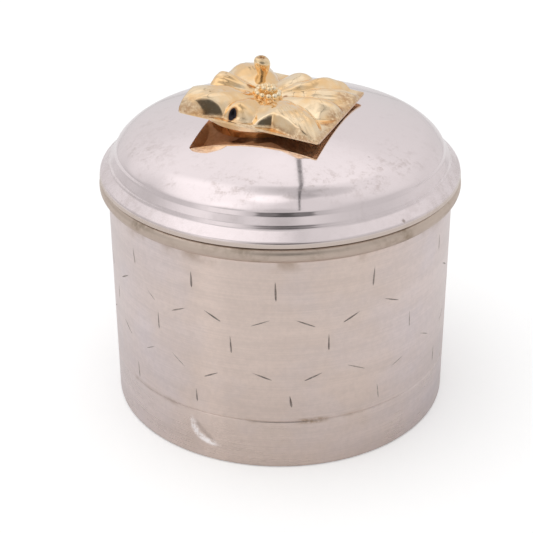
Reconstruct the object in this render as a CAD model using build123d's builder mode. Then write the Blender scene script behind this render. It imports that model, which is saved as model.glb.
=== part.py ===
"""Kumkum box: an engraved silver drum, a plug-in domed lid and a gold flower as its grip.

Millimetres, Z up, origin in the middle of the underside.
"""

import os
from math import atan2, degrees, hypot, radians, sqrt

from build123d import *

# Drum
body_radius = 20.0
body_height = 28.3
wall = 0.6
foot_rounding = 0.4
base_thickness = 0.8
bead_radius = 0.95
turned_line_height = 6.2
turned_line_width = 0.2
turned_line_depth = 0.06

# Engraving: one row of hexagons set out by eye, a short cut in the middle of each side.
# The front ones are given by their angles from the front, the rest share what is left.
front_cells = (-54.0, -28.3, -1.5, 30.3, 63.4)
back_cells = 7
row_height = 15.75
cell_point = 4.85
cell_side = 1.7
stub_reach = 7.3
slant_cut = 2.4
upright_cut = 2.0
cut_width = 0.22
cut_depth = 0.1

# Lid: heights above the mouth, widths in from the edge
lid_sheet = 0.5
lid_overhang = 0.9
dome_height = 7.9
crown_drop = 2.79
haunch_width = 2.6
foot_top = (2.03, 3.16)
foot_bottom = (1.91, 2.81)
shoulder_corner = (1.34, 2.03)
shoulder_foot = (1.22, 1.65)
edge_corner = (0.1, 0.65)
foot_top_round = 0.5
foot_hollow = 0.8
shoulder_round = 0.8
shoulder_hollow = 0.7
edge_round = 0.5
edge_under_round = 0.15
collar_depth = 4.0
collar_sheet = 0.5
flange_sheet = 0.35

# Flower
flower_side = 15.9
flower_corner = 0.3
flower_sheet = 0.25
flower_offset = (-0.43, -0.85)
flower_turn = -21.0
flower_tilt = 5.2
flower_gap = 0.3
centre_shift = -1.1
petal_start = 1.7
hollow_start = 2.8
petal_margin = 0.35
corner_petal_width = 5.2
corner_petal_rise = 1.9
side_petal_width = 5.6
side_petal_rise = 1.75
seat_radius = 6.8
seat_wall = 0.7
boss_radius = 1.45
boss_height = 0.8
crest_radius = 0.8
crest_height = 0.6
granule_radius = 0.38
outer_granules = 11
inner_granules = 6
bud_place = (-3.3, 3.6)
bud_foot_radius = 0.5
bud_top_radius = 0.9
bud_height = 3.6
bud_bore = 0.5
bud_bore_depth = 0.7

# Fastener inside the lid
stud_radius = 0.9
stud_tail = 0.6
washer_radius = 2.4
washer_thickness = 0.4
nut_across_flats = 4.0
nut_height = 1.5

# Fits
solder_gap = 0.02
collar_clearance = 0.2
hole_clearance = 0.1

bore_radius = body_radius - wall
edge_radius = body_radius + lid_overhang
collar_radius = bore_radius - collar_clearance
apex = body_height + dome_height


def nearest(points, place):
    """The vertex nearest a place on the sketch plane."""
    return points.sort_by_distance(Vector(*place, 0))[0]


# The rolled sheet of the drum, with its turned line and engraving
back_start = front_cells[-1]
back_pitch = (front_cells[0] + 360 - back_start) / (back_cells + 1)
cells = list(front_cells) + [back_start + back_pitch * count for count in range(1, back_cells + 2)]
slant_rise = (cell_point + cell_side) / 2


def wall_place(angle, height, lean):
    """A place on the outside of the drum, its angle taken from the front."""
    return Location((0, 0, height), (0, 0, angle - 90)) * Location((body_radius, 0, 0), (lean, 0, 0))


upright_places = []
slant_places = []
for angle, following in zip(cells[:-1], cells[1:]):
    quarter = (following - angle) / 4
    slant_lean = 90 - degrees(atan2(cell_point - cell_side, 2 * radians(quarter) * body_radius))
    upright_places.append(wall_place(angle, row_height + stub_reach, 0))
    upright_places.append(wall_place(angle, row_height - stub_reach, 0))
    upright_places.append(wall_place(angle + 2 * quarter, row_height, 0))
    for up in (-1, 1):
        height = row_height + up * slant_rise
        slant_places.append(wall_place(angle + quarter, height, up * slant_lean))
        slant_places.append(wall_place(angle + 3 * quarter, height, -up * slant_lean))

with BuildPart() as body_wall:
    with BuildSketch(Plane.XZ) as wall_section:
        Rectangle(body_radius, body_height, align=Align.MIN)
        Rectangle(bore_radius, body_height, align=Align.MIN, mode=Mode.SUBTRACT)
        fillet(nearest(wall_section.vertices(), (body_radius, 0)), foot_rounding)
    revolve(axis=Axis.Z)
    with BuildSketch(Plane.XZ):
        with Locations((body_radius, turned_line_height)):
            Rectangle(2 * turned_line_depth, turned_line_width)
    revolve(axis=Axis.Z, mode=Mode.SUBTRACT)
    with Locations(*upright_places):
        Box(2 * cut_depth, cut_width, upright_cut, mode=Mode.SUBTRACT)
    with Locations(*slant_places):
        Box(2 * cut_depth, cut_width, slant_cut, mode=Mode.SUBTRACT)

# The bottom, set in flush with the foot of the drum
with BuildPart() as base_disc:
    with BuildSketch():
        Circle(bore_radius - solder_gap)
    extrude(amount=base_thickness)

# Half-round wire outside the mouth, its top level with the rim
bead_height = body_height - bead_radius
bead_inside = body_radius + solder_gap
with BuildPart() as mouth_bead:
    with BuildSketch(Plane.XZ):
        with Locations((bead_inside, bead_height)):
            Circle(bead_radius)
            Rectangle(
                2 * bead_radius,
                3 * bead_radius,
                align=(Align.MAX, Align.CENTER),
                mode=Mode.SUBTRACT,
            )
    revolve(axis=Axis.Z)

# The lid: a filled outer form, less the same form one sheet thickness inside it
rim = [
    (edge_radius - inward, body_height + up)
    for inward, up in (foot_top, foot_bottom, shoulder_corner, shoulder_foot, edge_corner)
]
rim_rounds = (foot_top_round, foot_hollow, shoulder_round, shoulder_hollow, edge_round)
under_rim = [(radius - lid_sheet, height - lid_sheet / 2) for radius, height in rim]
crown_end = rim[0][0] - haunch_width
crown_radius = (crown_end**2 + crown_drop**2) / (2 * crown_drop)
crown_centre = apex - crown_radius
inner_crown_radius = crown_radius - lid_sheet


def crown_height(radius, surface_radius):
    """Height of a crown surface over the given radius."""
    return crown_centre + sqrt(surface_radius**2 - radius**2)


def lid_form(corners, rounds, surface_radius, edge):
    """A filled lid under a crown and a row of rim corners."""
    crown_stop = crown_end * surface_radius / crown_radius
    with BuildPart() as form:
        with BuildSketch(Plane.XZ) as section:
            with BuildLine():
                top = (0, crown_centre + surface_radius)
                stop = (crown_stop, crown_height(crown_stop, surface_radius))
                crown = RadiusArc(top, stop, surface_radius)
                TangentArc(stop, corners[0], tangent=crown % 1)
                Polyline(*corners, (edge, body_height), (0, body_height), top)
            make_face()
            for corner, radius in zip(corners, rounds):
                fillet(nearest(section.vertices(), corner), radius)
        revolve(axis=Axis.Z)
    return form.part


lid_outside = lid_form(rim, rim_rounds, crown_radius, edge_radius)
lid_inside = lid_form(under_rim, (), inner_crown_radius, edge_radius - lid_sheet)

with BuildPart() as lid_dome:
    add(lid_outside)
    add(lid_inside, mode=Mode.SUBTRACT)
    edge_ring = lid_dome.edges().filter_by(GeomType.CIRCLE).group_by(Axis.Z)[0].sort_by(SortBy.RADIUS)
    fillet(edge_ring[-1], edge_under_round)
    with Locations((0, 0, apex)):
        Cylinder(stud_radius + hole_clearance, 4 * lid_sheet, mode=Mode.SUBTRACT)

# Collar under the lid: its flange rests on the rim, its tube plugs into the mouth
collar_inside = collar_radius - collar_sheet
with BuildPart() as lid_collar:
    with BuildSketch(Plane.XZ):
        with Locations((collar_inside, body_height)):
            Rectangle(collar_sheet, dome_height, align=Align.MIN)
            Rectangle(edge_radius - collar_inside, flange_sheet, align=Align.MIN)
    revolve(axis=Axis.Z)
    add(lid_inside, mode=Mode.INTERSECT)
    with BuildSketch(Plane.XZ):
        with Locations((collar_inside, body_height)):
            Rectangle(collar_sheet, collar_depth, align=(Align.MIN, Align.MAX))
    revolve(axis=Axis.Z)

# The flower is drawn flat on its own underside and set a little askew on the crown
flower_place = Location((*flower_offset, apex + flower_gap), (0, 0, flower_turn))
flower_place = flower_place * Rotation(0, flower_tilt, 0)
flower_plane = Plane(flower_place)
half_side = flower_side / 2


def petal(tip, width, rise, start, inset, floor):
    """A bulge from the flower's middle to a tip on its edge, down to a floor level."""
    reach = hypot(tip[0] - centre_shift, tip[1]) - petal_margin - inset
    top = rise - inset
    sink = ((width / 2 - inset) ** 2 / top - top) / 2
    with BuildPart() as bulge:
        with BuildSketch(Plane.XZ):
            with BuildLine():
                ThreePointArc((start, 0), ((start + reach) / 2, top), (reach, 0))
                Polyline((reach, 0), (reach, -sink), (start, -sink), (start, 0))
            make_face()
        revolve(axis=Axis((0, 0, -sink), (1, 0, 0)))
        split(bisect_by=Plane.XY.offset(floor), keep=Keep.TOP)
    turn = degrees(atan2(tip[1], tip[0] - centre_shift))
    return Location((centre_shift, 0, 0), (0, 0, turn)) * bulge.part


corner_tips = [(x * half_side, y * half_side) for x in (-1, 1) for y in (-1, 1)]
side_tips = [(-half_side, 0), (half_side, 0), (0, -half_side), (0, half_side)]
bulges = []
hollows = []
for tips, width, rise in (
    (corner_tips, corner_petal_width, corner_petal_rise),
    (side_tips, side_petal_width, side_petal_rise),
):
    for tip in tips:
        bulges.append(petal(tip, width, rise, petal_start, 0, flower_sheet / 2))
        hollows.append(petal(tip, width, rise, hollow_start, flower_sheet, -flower_sheet))

with BuildPart() as flower_outside:
    with BuildSketch():
        RectangleRounded(flower_side, flower_side, flower_corner)
    extrude(amount=flower_sheet)
    add(bulges)

with BuildPart() as flower_plate:
    add(flower_outside.part)
    add(hollows, mode=Mode.SUBTRACT)

# Boss of grains in the middle of the flower
with BuildPart() as flower_boss:
    level = flower_sheet
    for radius, rise, grains in (
        (boss_radius, boss_height, outer_granules),
        (crest_radius, crest_height, inner_granules),
    ):
        with BuildSketch(Plane.XY.offset(level)):
            with Locations((centre_shift, 0)):
                Circle(radius)
        extrude(amount=rise)
        level += rise
        with Locations((centre_shift, 0, level)):
            with PolarLocations(radius - granule_radius / 2, grains):
                Sphere(granule_radius)
    with Locations((centre_shift, 0, level)):
        Sphere(granule_radius)
    add(flower_outside.part, mode=Mode.SUBTRACT)

# Curled bud behind the boss, its foot filed to the petal it stands on
with BuildPart() as flower_bud:
    with BuildSketch():
        with Locations(bud_place):
            Circle(bud_foot_radius)
    with BuildSketch(Plane.XY.offset(bud_height)):
        with Locations(bud_place):
            Circle(bud_top_radius)
    loft()
    with BuildSketch(Plane.XY.offset(bud_height)):
        with Locations(bud_place):
            Circle(bud_bore)
    extrude(amount=-bud_bore_depth, mode=Mode.SUBTRACT)
    add(flower_outside.part, mode=Mode.SUBTRACT)

# Ring under the flower, its lower edge filed to the crown
with BuildPart() as flower_seat:
    with BuildSketch(flower_plane):
        with Locations((centre_shift, 0)):
            Circle(seat_radius)
            Circle(seat_radius - seat_wall, mode=Mode.SUBTRACT)
    extrude(amount=-dome_height / 2)
    add(lid_outside, mode=Mode.SUBTRACT)

# Stud under the flower, with its washer and nut inside the lid
washer_top = crown_height(washer_radius, inner_crown_radius)
nut_top = washer_top - washer_thickness
nut_bottom = nut_top - nut_height
with BuildPart() as flower_stud:
    with BuildSketch(Plane.XY.offset(nut_bottom - stud_tail)):
        Circle(stud_radius)
    extrude(amount=dome_height)
    split(bisect_by=flower_plane, keep=Keep.BOTTOM)

with BuildPart() as stud_washer:
    with BuildSketch(Plane.XY.offset(nut_top)):
        Circle(washer_radius)
        Circle(stud_radius + hole_clearance, mode=Mode.SUBTRACT)
    extrude(amount=washer_thickness)

with BuildPart() as stud_nut:
    with BuildSketch(Plane.XY.offset(nut_bottom)):
        RegularPolygon(nut_across_flats / 2, 6, major_radius=False)
        Circle(stud_radius + solder_gap, mode=Mode.SUBTRACT)
    extrude(amount=nut_height)

pieces = {
    "body_wall": body_wall.part,
    "base_disc": base_disc.part,
    "mouth_bead": mouth_bead.part,
    "lid_dome": lid_dome.part,
    "lid_collar": lid_collar.part,
    "flower_seat": flower_seat.part,
    "flower_plate": flower_place * flower_plate.part,
    "flower_boss": flower_place * flower_boss.part,
    "flower_bud": flower_place * flower_bud.part,
    "flower_stud": flower_stud.part,
    "stud_washer": stud_washer.part,
    "stud_nut": stud_nut.part,
}
os.makedirs("parts", exist_ok=True)
for label, piece in pieces.items():
    piece.label = label
    export_step(piece, f"parts/{label}.step")
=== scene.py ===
"""Kumkum box, dressed: engraved satin drum, polished domed lid and gilt stamped flower.

Sizes are in millimetres in the classes and in metres in the meshes. Z is up, the origin is
in the middle of the underside and the viewer stands on the -Y side.
"""

import logging
import math
from dataclasses import dataclass, field
from enum import Enum
from functools import reduce

import bpy
import numpy as np
from mathutils import Matrix, Vector


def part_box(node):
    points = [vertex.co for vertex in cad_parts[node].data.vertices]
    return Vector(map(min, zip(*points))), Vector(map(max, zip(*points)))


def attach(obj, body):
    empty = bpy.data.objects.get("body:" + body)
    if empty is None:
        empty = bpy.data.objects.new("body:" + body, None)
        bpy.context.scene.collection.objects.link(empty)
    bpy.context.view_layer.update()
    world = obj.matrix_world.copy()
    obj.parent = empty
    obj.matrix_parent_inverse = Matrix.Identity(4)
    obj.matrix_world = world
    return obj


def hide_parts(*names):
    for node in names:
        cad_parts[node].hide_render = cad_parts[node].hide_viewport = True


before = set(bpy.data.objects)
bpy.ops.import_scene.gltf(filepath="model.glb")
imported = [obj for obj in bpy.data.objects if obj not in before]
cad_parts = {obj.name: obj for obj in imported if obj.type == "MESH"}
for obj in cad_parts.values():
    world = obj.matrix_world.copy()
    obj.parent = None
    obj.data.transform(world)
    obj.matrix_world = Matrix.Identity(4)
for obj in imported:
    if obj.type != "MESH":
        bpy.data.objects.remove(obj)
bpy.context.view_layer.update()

MM = 0.001
FULL_TURN = 2 * math.pi
NEAR_AXIS = 1e-6
LATHE_FLATS = 256
LOG = logging.getLogger("kumkum_box")

Point = tuple[float, float]
Material = bpy.types.Material
Object = bpy.types.Object
Socket = bpy.types.NodeSocket
Value = float | Socket
Inputs = dict[str | int, object]


class Slot(Enum):
    """The finishes of the record."""

    SATIN = "satin_silver"
    POLISHED = "polished_silver"
    GILT = "gilt"
    WHITE = "white_metal"


class Body(Enum):
    """The two bodies that move against each other."""

    DRUM = "drum"
    LID = "lid"


class Stroke(Enum):
    """The three ways a graver's cut runs on the drum."""

    UPRIGHT = 0
    RISING = 1
    FALLING = -1


@dataclass(frozen=True)
class Tint:
    """A colour in linear light."""

    red: float
    green: float
    blue: float

    def rgba(self) -> tuple[float, float, float, float]:
        """The colour with full cover."""
        return (self.red, self.green, self.blue, 1.0)


class Graph:
    """A node tree with short ways to add nodes and to join them."""

    def __init__(self, tree: bpy.types.NodeTree) -> None:
        """Keeps the tree that the nodes go into."""
        self.tree = tree

    def feed(self, socket: Socket, value: object) -> None:
        """Joins an output to a socket, or sets the socket to a plain value.

        Args:
            socket: The input that is fed.
            value: An output, a tint or the value itself.
        """
        if isinstance(value, Socket):
            self.tree.links.new(value, socket)
        else:
            socket.default_value = value.rgba() if isinstance(value, Tint) else value

    def add(self, kind: str, inputs: Inputs | None = None, **settings: object) -> bpy.types.Node:
        """Adds a node.

        Args:
            kind: The type of the node.
            inputs: What its sockets are fed with, by name or number.
            **settings: The node's own settings.

        Returns:
            The new node.
        """
        node = self.tree.nodes.new(kind)
        for name, value in settings.items():
            setattr(node, name, value)
        for key, value in (inputs or {}).items():
            self.feed(node.inputs[key], value)
        return node

    def out(
        self, kind: str, inputs: Inputs | None = None, which: str | int = 0, **settings: object
    ) -> Socket:
        """Adds a node and gives one of its outputs, the first unless another is named."""
        return self.add(kind, inputs, **settings).outputs[which]

    def math(self, operation: str, *values: Value) -> Socket:
        """The answer of one sum, given its kind and its terms."""
        return self.out("ShaderNodeMath", dict(enumerate(values)), operation=operation)

    def plus(self, *values: Value) -> Socket:
        """All the values added up."""
        return reduce(lambda first, second: self.math("ADD", first, second), values)

    def times(self, *values: Value) -> Socket:
        """All the values multiplied."""
        return reduce(lambda first, second: self.math("MULTIPLY", first, second), values)

    def most(self, *values: Value) -> Socket:
        """The greatest of the values."""
        return reduce(lambda first, second: self.math("MAXIMUM", first, second), values)

    def less(self, value: Value, other: Value) -> Socket:
        """One value less another."""
        return self.math("SUBTRACT", value, other)

    def gap(self, value: Value, place: float) -> Socket:
        """How far a value is from a place, either way."""
        return self.math("ABSOLUTE", self.less(value, place))

    def slant(self, *sides: Value) -> Socket:
        """The length of a line with these parts."""
        return self.math("SQRT", self.plus(*(self.times(side, side) for side in sides)))

    def vector(self, *parts: Value) -> Socket:
        """Three numbers joined into a vector."""
        return self.out("ShaderNodeCombineXYZ", dict(enumerate(parts)))

    def split(self, vector: Socket) -> list[Socket]:
        """The three parts of a vector."""
        return list(self.add("ShaderNodeSeparateXYZ", {0: vector}).outputs)

    def dot(self, first: object, second: object) -> Socket:
        """The dot product of two vectors."""
        return self.out("ShaderNodeVectorMath", {0: first, 1: second}, "Value", operation="DOT_PRODUCT")

    def span(
        self, value: Value, low: float, high: float, first: float = 0.0, last: float = 1.0
    ) -> Socket:
        """Goes smoothly from first to last as a value goes from low to high, and is held outside."""
        terms = dict(enumerate((value, low, high, first, last)))
        return self.out("ShaderNodeMapRange", terms, interpolation_type="SMOOTHSTEP")

    def over(
        self, value: Value, low: float, high: float, first: float = 0.0, last: float = 1.0
    ) -> Socket:
        """The same as span, with its start and end in millimetres."""
        return self.span(value, low * MM, high * MM, first, last)

    def noise(self, place: Socket, scale: float, detail: float = 2.0, rough: float = 0.5) -> Socket:
        """Soft noise about one half: its repeats in a metre, finer layers and their strength."""
        terms = {"Vector": place, "Scale": scale, "Detail": detail, "Roughness": rough}
        return self.out("ShaderNodeTexNoise", terms)

    def specks(self, place: Socket, scale: float, size: float, bare: float = 0.72) -> Socket:
        """Small round spots.

        Args:
            place: Where they are read.
            scale: How many cells there are in a metre.
            size: The largest spot as a share of its cell.
            bare: The share of cells that have none.

        Returns:
            A socket that is 1 in the middle of a spot.
        """
        node = self.add("ShaderNodeTexVoronoi", {"Vector": place, "Scale": scale}, feature="F1")
        pick = self.out("ShaderNodeSeparateColor", {0: node.outputs["Color"]})
        reach = self.span(pick, bare, 1.0, 0.0, size)
        return self.span(self.less(reach, node.outputs["Distance"]), 0.0, 0.5 * size)

    def mix(self, share: Value, first: object, second: object) -> Socket:
        """Two colours mixed, with that share of the second."""
        return self.out("ShaderNodeMix", {0: share, 6: first, 7: second}, 2, data_type="RGBA")

    def bump(self, height: Socket, depth: float, before: Socket | None = None) -> Socket:
        """A normal bent by a height from 0 to 1, so many millimetres deep, over one bent before."""
        terms = {"Strength": 1.0, "Distance": depth * MM, "Height": height}
        return self.out("ShaderNodeBump", terms if before is None else {**terms, "Normal": before})


class Metal(Graph):
    """A metal's material, with the coordinates of a turned piece at hand."""

    def __init__(self, name: str) -> None:
        """Starts a metal.

        Args:
            name: Its name.
        """
        self.material = bpy.data.materials.new(name)
        self.material.use_nodes = True
        super().__init__(self.material.node_tree)
        self.surface = self.tree.nodes["Principled BSDF"]
        self.surface.inputs["Metallic"].default_value = 1.0
        self.place = self.out("ShaderNodeTexCoord", which="Object")
        self.x, self.y, self.z = self.split(self.place)
        self.wide = self.math("ABSOLUTE", self.x)
        self.radius = self.slant(self.x, self.y)
        self.run = self.less(self.radius, self.z)

    def cloud(self, scale: float, detail: float = 2.0, rough: float = 0.5) -> Socket:
        """Soft noise in the piece's own space."""
        return self.noise(self.place, scale, detail, rough)

    def turned(self, across: float, around: float, detail: float, rough: float = 0.5) -> Socket:
        """Noise drawn out round the axis, as a lathe does: marks in a metre, across and along."""
        along = (self.times(side, around) for side in (self.x, self.y))
        return self.noise(self.vector(*along, self.times(self.run, across)), 1.0, detail, rough)

    def shade(self, colour: Socket, level: Socket) -> Socket:
        """A colour darkened or lightened by a level."""
        return self.out("ShaderNodeVectorMath", {0: colour, "Scale": level}, operation="SCALE")

    def finish(self, colour: object, roughness: Value, normal: Socket | None = None) -> Material:
        """Joins the surface up.

        Args:
            colour: The metal's colour.
            roughness: Its roughness.
            normal: Its bent normal, if it has one.

        Returns:
            The finished material.
        """
        for name, value in (("Base Color", colour), ("Roughness", roughness), ("Normal", normal)):
            if value is not None:
                self.feed(self.surface.inputs[name], value)
        return self.material


@dataclass(frozen=True)
class SatinSilver:
    """Silver brushed round the drum, with a smoother border under the turned line."""

    warm: Tint = Tint(0.79, 0.655, 0.590)
    cool: Tint = Tint(0.80, 0.705, 0.705)
    stain: Tint = Tint(0.40, 0.28, 0.19)
    # The colour of the painted highlight on the knock.
    bare: Tint = Tint(1.0, 0.93, 0.92)
    roughness: float = 0.34
    border_roughness: float = 0.29
    border_height: float = 6.2
    border_blend: float = 0.15
    mouth_height: float = 26.4
    # The heights over which painted shade darkens the wall towards the foot.
    foot_shade_heights: Point = (6.0, 17.0)
    # Where the painted highlight streak runs across the front.
    highlight_place: float = -7.6
    spill_place: float = 3.6
    knock_place: Point = (-7.7, 4.5)
    knock_radius: float = 2.1
    knock_depth: float = 0.26
    brushing: float = 0.6
    brush_turn: float = 0.25

    def make(self) -> Material:
        """Makes the material of the drum's sheet.

        Returns:
            The finished material.
        """
        metal = Metal(Slot.SATIN.value)
        lines, broad = metal.turned(5200, 110, 3.0, 0.6), metal.turned(700, 90, 2.0)
        cloud, grain = metal.cloud(130, 3.0, 0.55), metal.cloud(1500, 4.0, 0.7)
        # The brushed colour: a painted reflection of cooler surroundings, mixed with cloudy tone, turns it
        # lilac towards the sides; painted shade darkens it towards the foot; a painted highlight makes one
        # bright upright streak.
        sideways = metal.math("DIVIDE", metal.wide, metal.radius)
        side_reflection_and_tone = metal.plus(
            metal.span(sideways, 0.35, 0.9, 0.0, 0.75), metal.span(cloud, 0.4, 0.7, -0.1, 0.3)
        )
        brushed = metal.plus(metal.times(broad, 0.6), metal.times(lines, 0.6), metal.times(grain, 0.7))
        level = metal.times(
            metal.over(metal.z, *self.foot_shade_heights, 0.93, 1.0),
            metal.over(metal.gap(metal.x, self.highlight_place * MM), 0.3, 2.4, 1.06, 1.0),
            metal.span(brushed, 0.7, 1.25, 0.93, 1.055),
        )
        tone = metal.shade(metal.mix(side_reflection_and_tone, self.warm, self.cool), level)
        # Stains along the turned line; the wall is darker in patches just under the mouth wire.
        patches = metal.span(metal.cloud(210, 4.0, 0.6), 0.48, 0.72)
        line = metal.gap(metal.z, self.border_height * MM)
        spill = metal.times(
            metal.over(metal.gap(metal.x, self.spill_place * MM), 0.4, 2.6, 0.9, 0.0),
            metal.over(line, 0.1, 0.6, 1.0, 0.0),
            metal.span(grain, 0.4, 0.6, 0.3, 1.0),
        )
        mouth = metal.over(metal.z, self.mouth_height - 1.8, self.mouth_height + 0.2, 0.0, 0.75)
        foot = metal.times(metal.over(line, 0.0, 0.6, 0.5, 0.0), patches)
        stained = metal.mix(metal.most(foot, spill, metal.times(mouth, patches)), tone, self.stain)
        # The knock: the lower left of a shallow round dent in the normal, with a painted highlight along
        # its rim.
        across, up = (
            metal.less(part, place * MM) for part, place in zip((metal.x, metal.z), self.knock_place)
        )
        apart = metal.slant(across, up)
        near = metal.times(
            metal.over(metal.plus(across, up), -2.5, -1.0, 1.0, 0.0),
            metal.over(metal.y, -1.0, 0.0, 1.0, 0.0),
        )
        dented = metal.times(
            metal.over(apart, self.knock_radius - 0.4, self.knock_radius + 0.4, 1.0, 0.0), near
        )
        ring = metal.over(metal.gap(apart, self.knock_radius * MM), 0.2, 0.6, 1.0, 0.0)
        # The painted highlight along the dent's rim.
        knock_glint = metal.times(ring, near, metal.span(grain, 0.38, 0.55, 0.2, 1.0))
        dents = metal.bump(lines, 0.0014, metal.bump(metal.cloud(160, 1.0), 0.03))
        normal = metal.bump(metal.less(1.0, dented), self.knock_depth, dents)
        low, high = self.border_height - self.border_blend, self.border_height + self.border_blend
        roughness = metal.plus(
            metal.times(metal.over(metal.z, low, high), self.roughness - self.border_roughness),
            metal.span(metal.plus(lines, cloud), 0.6, 1.4, -0.05, 0.07),
            self.border_roughness,
        )
        metal.feed(metal.surface.inputs["Anisotropic"], self.brushing)
        metal.feed(metal.surface.inputs["Anisotropic Rotation"], self.brush_turn)
        return metal.finish(metal.mix(knock_glint, stained, self.bare), roughness, normal)


@dataclass(frozen=True)
class PolishedSilver:
    """Silver polished on the lathe, with a few pits and some dull patches."""

    bright: Tint = Tint(0.905, 0.805, 0.815)
    dull: Tint = Tint(0.66, 0.565, 0.55)
    spot: Tint = Tint(0.30, 0.24, 0.20)
    edge: Tint = Tint(0.62, 0.51, 0.42)
    roughness: float = 0.045
    edge_height: float = 29.0
    rim_top: float = 32.0
    haunch: Point = (12.0, 16.5)
    foot: Point = (17.6, 18.8)
    shoulder: Point = (19.3, 19.8)

    def make(self) -> Material:
        """Makes the material of the lid and its collar.

        Returns:
            The finished material.
        """
        metal = Metal(Slot.POLISHED.value)
        lines = metal.turned(4200, 90, 3.0, 0.6)
        patches = metal.span(metal.cloud(110, 4.0, 0.6), 0.50, 0.70)
        grime = metal.times(patches, metal.span(metal.cloud(1100, 4.0, 0.65), 0.46, 0.64))
        pits = metal.specks(metal.place, 300, 0.13)
        rim = metal.times(
            metal.over(metal.z, self.edge_height, self.rim_top, 0.4, 0.0),
            metal.over(metal.wide, 8.0, 18.0, 0.25, 1.0),
            metal.span(metal.cloud(700, 5.0, 0.7), 0.42, 0.62),
        )
        # Mottling sits on the front of the haunch.
        worn = metal.times(
            metal.over(metal.radius, *self.haunch, 0.10, 0.8),
            metal.over(metal.radius, *self.foot, 1.0, 0.25),
            metal.over(metal.y, -9.0, -2.0, 1.0, 0.2),
            metal.span(metal.cloud(190, 3.0, 0.6), 0.40, 0.60),
            metal.span(metal.cloud(1000, 6.0, 0.75), 0.46, 0.66),
        )
        colour = metal.mix(metal.most(metal.times(grime, 0.35), rim, worn), self.bright, self.dull)
        handled = metal.over(metal.z, self.edge_height - 0.35, self.edge_height, 0.7, 0.0)
        colour = metal.mix(handled, colour, self.edge)
        colour = metal.mix(metal.times(pits, 0.8), colour, self.spot)
        # The rim is a little hazy, most of all at the sides and on the shoulder.
        roughness = metal.plus(
            metal.times(metal.plus(patches, rim, worn), 0.10),
            metal.times(metal.over(metal.wide, 7.0, 15.0), 0.07, metal.over(metal.radius, 15.5, 18.0)),
            metal.over(metal.radius, *self.shoulder, 0.0, 0.11),
            metal.span(lines, 0.3, 0.7, -0.01, 0.025),
            self.roughness,
        )
        scratches = metal.bump(lines, 0.0001, metal.bump(metal.turned(330, 130, 1.0), 0.0008))
        return metal.finish(colour, roughness, metal.bump(metal.less(1.0, pits), 0.03, scratches))


@dataclass(frozen=True)
class BeadSilver:
    """The mouth wire: handled silver gone warm and a little brown, with painted shade under the lid and a
    painted highlight along its crest.
    """

    worn: Tint = Tint(0.60, 0.49, 0.42)
    brown: Tint = Tint(0.33, 0.25, 0.175)
    # The colour of the painted highlight on the crest.
    crest_highlight: Tint = Tint(0.66, 0.545, 0.465)
    # The colour of the painted shade in the gap under the lid.
    seam: Tint = Tint(0.13, 0.10, 0.075)
    crest_heights: Point = (27.3, 27.7)
    gap_shade_heights: Point = (28.0, 28.2)
    roughness: float = 0.40

    def make(self) -> Material:
        """Makes the material of the mouth wire.

        Returns:
            The finished material.
        """
        metal = Metal("bead_silver")
        cloud, fine = metal.cloud(170, 4.0, 0.6), metal.cloud(1400, 3.0, 0.6)
        stain = metal.times(metal.span(cloud, 0.47, 0.72), metal.span(fine, 0.3, 0.65), 0.9)
        # The crest is painted lighter, a painted highlight where the wire faces up, and it is also
        # smoother.
        crest = metal.over(metal.z, *self.crest_heights)
        colour = metal.mix(stain, metal.mix(crest, self.worn, self.crest_highlight), self.brown)
        # A painted shade line at the top of the wire, in the gap under the lid.
        colour = metal.mix(metal.over(metal.z, *self.gap_shade_heights), colour, self.seam)
        wander = metal.span(metal.plus(cloud, fine), 0.6, 1.4, self.roughness - 0.08, self.roughness + 0.12)
        roughness = metal.less(wander, metal.times(crest, 0.06))
        return metal.finish(colour, roughness, metal.bump(fine, 0.004, metal.bump(cloud, 0.02)))


@dataclass(frozen=True)
class Gilt:
    """Bright gold plate, redder and dull in the hollows, black where a dark reflection is painted."""

    name: str = Slot.GILT.value
    gold: Tint = Tint(0.97, 0.645, 0.335)
    pale: Tint = Tint(1.0, 0.79, 0.54)
    red: Tint = Tint(0.42, 0.19, 0.07)
    roughness: float = 0.06
    # The black of a painted reflection of the tent's dark opening.
    dark_reflection: Tint = Tint(0.03, 0.025, 0.03)

    def make(self) -> Material:
        """Makes the material of the flower's pieces.

        Returns:
            The finished material.
        """
        metal = Metal(self.name)
        hollow = metal.out(
            "ShaderNodeAttribute", None, "Fac", attribute_type="GEOMETRY", attribute_name="hollow"
        )
        cloud, fine = metal.cloud(320, 3.0, 0.55), metal.cloud(2600, 3.0, 0.6)
        dirt_and_reflection = metal.span(metal.times(hollow, metal.span(fine, 0.25, 0.6, 0.3, 1.0)), 0.0, 1.0)
        colour = metal.mix(metal.span(cloud, 0.38, 0.62), self.gold, self.pale)
        colour = metal.mix(metal.times(dirt_and_reflection, 0.85), colour, self.red)
        # Where the dirt share passes 1 the gold turns black: a painted reflection of the dark opening.
        colour = metal.mix(metal.span(hollow, 1.0, 1.6), colour, self.dark_reflection)
        wander = metal.span(metal.plus(cloud, fine), 0.6, 1.4, self.roughness - 0.04, self.roughness + 0.07)
        crumple = metal.bump(metal.cloud(700, 2.0), 0.06)
        roughness = metal.plus(wander, metal.times(dirt_and_reflection, 0.2))
        return metal.finish(colour, roughness, metal.bump(fine, 0.003, crumple))


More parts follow.
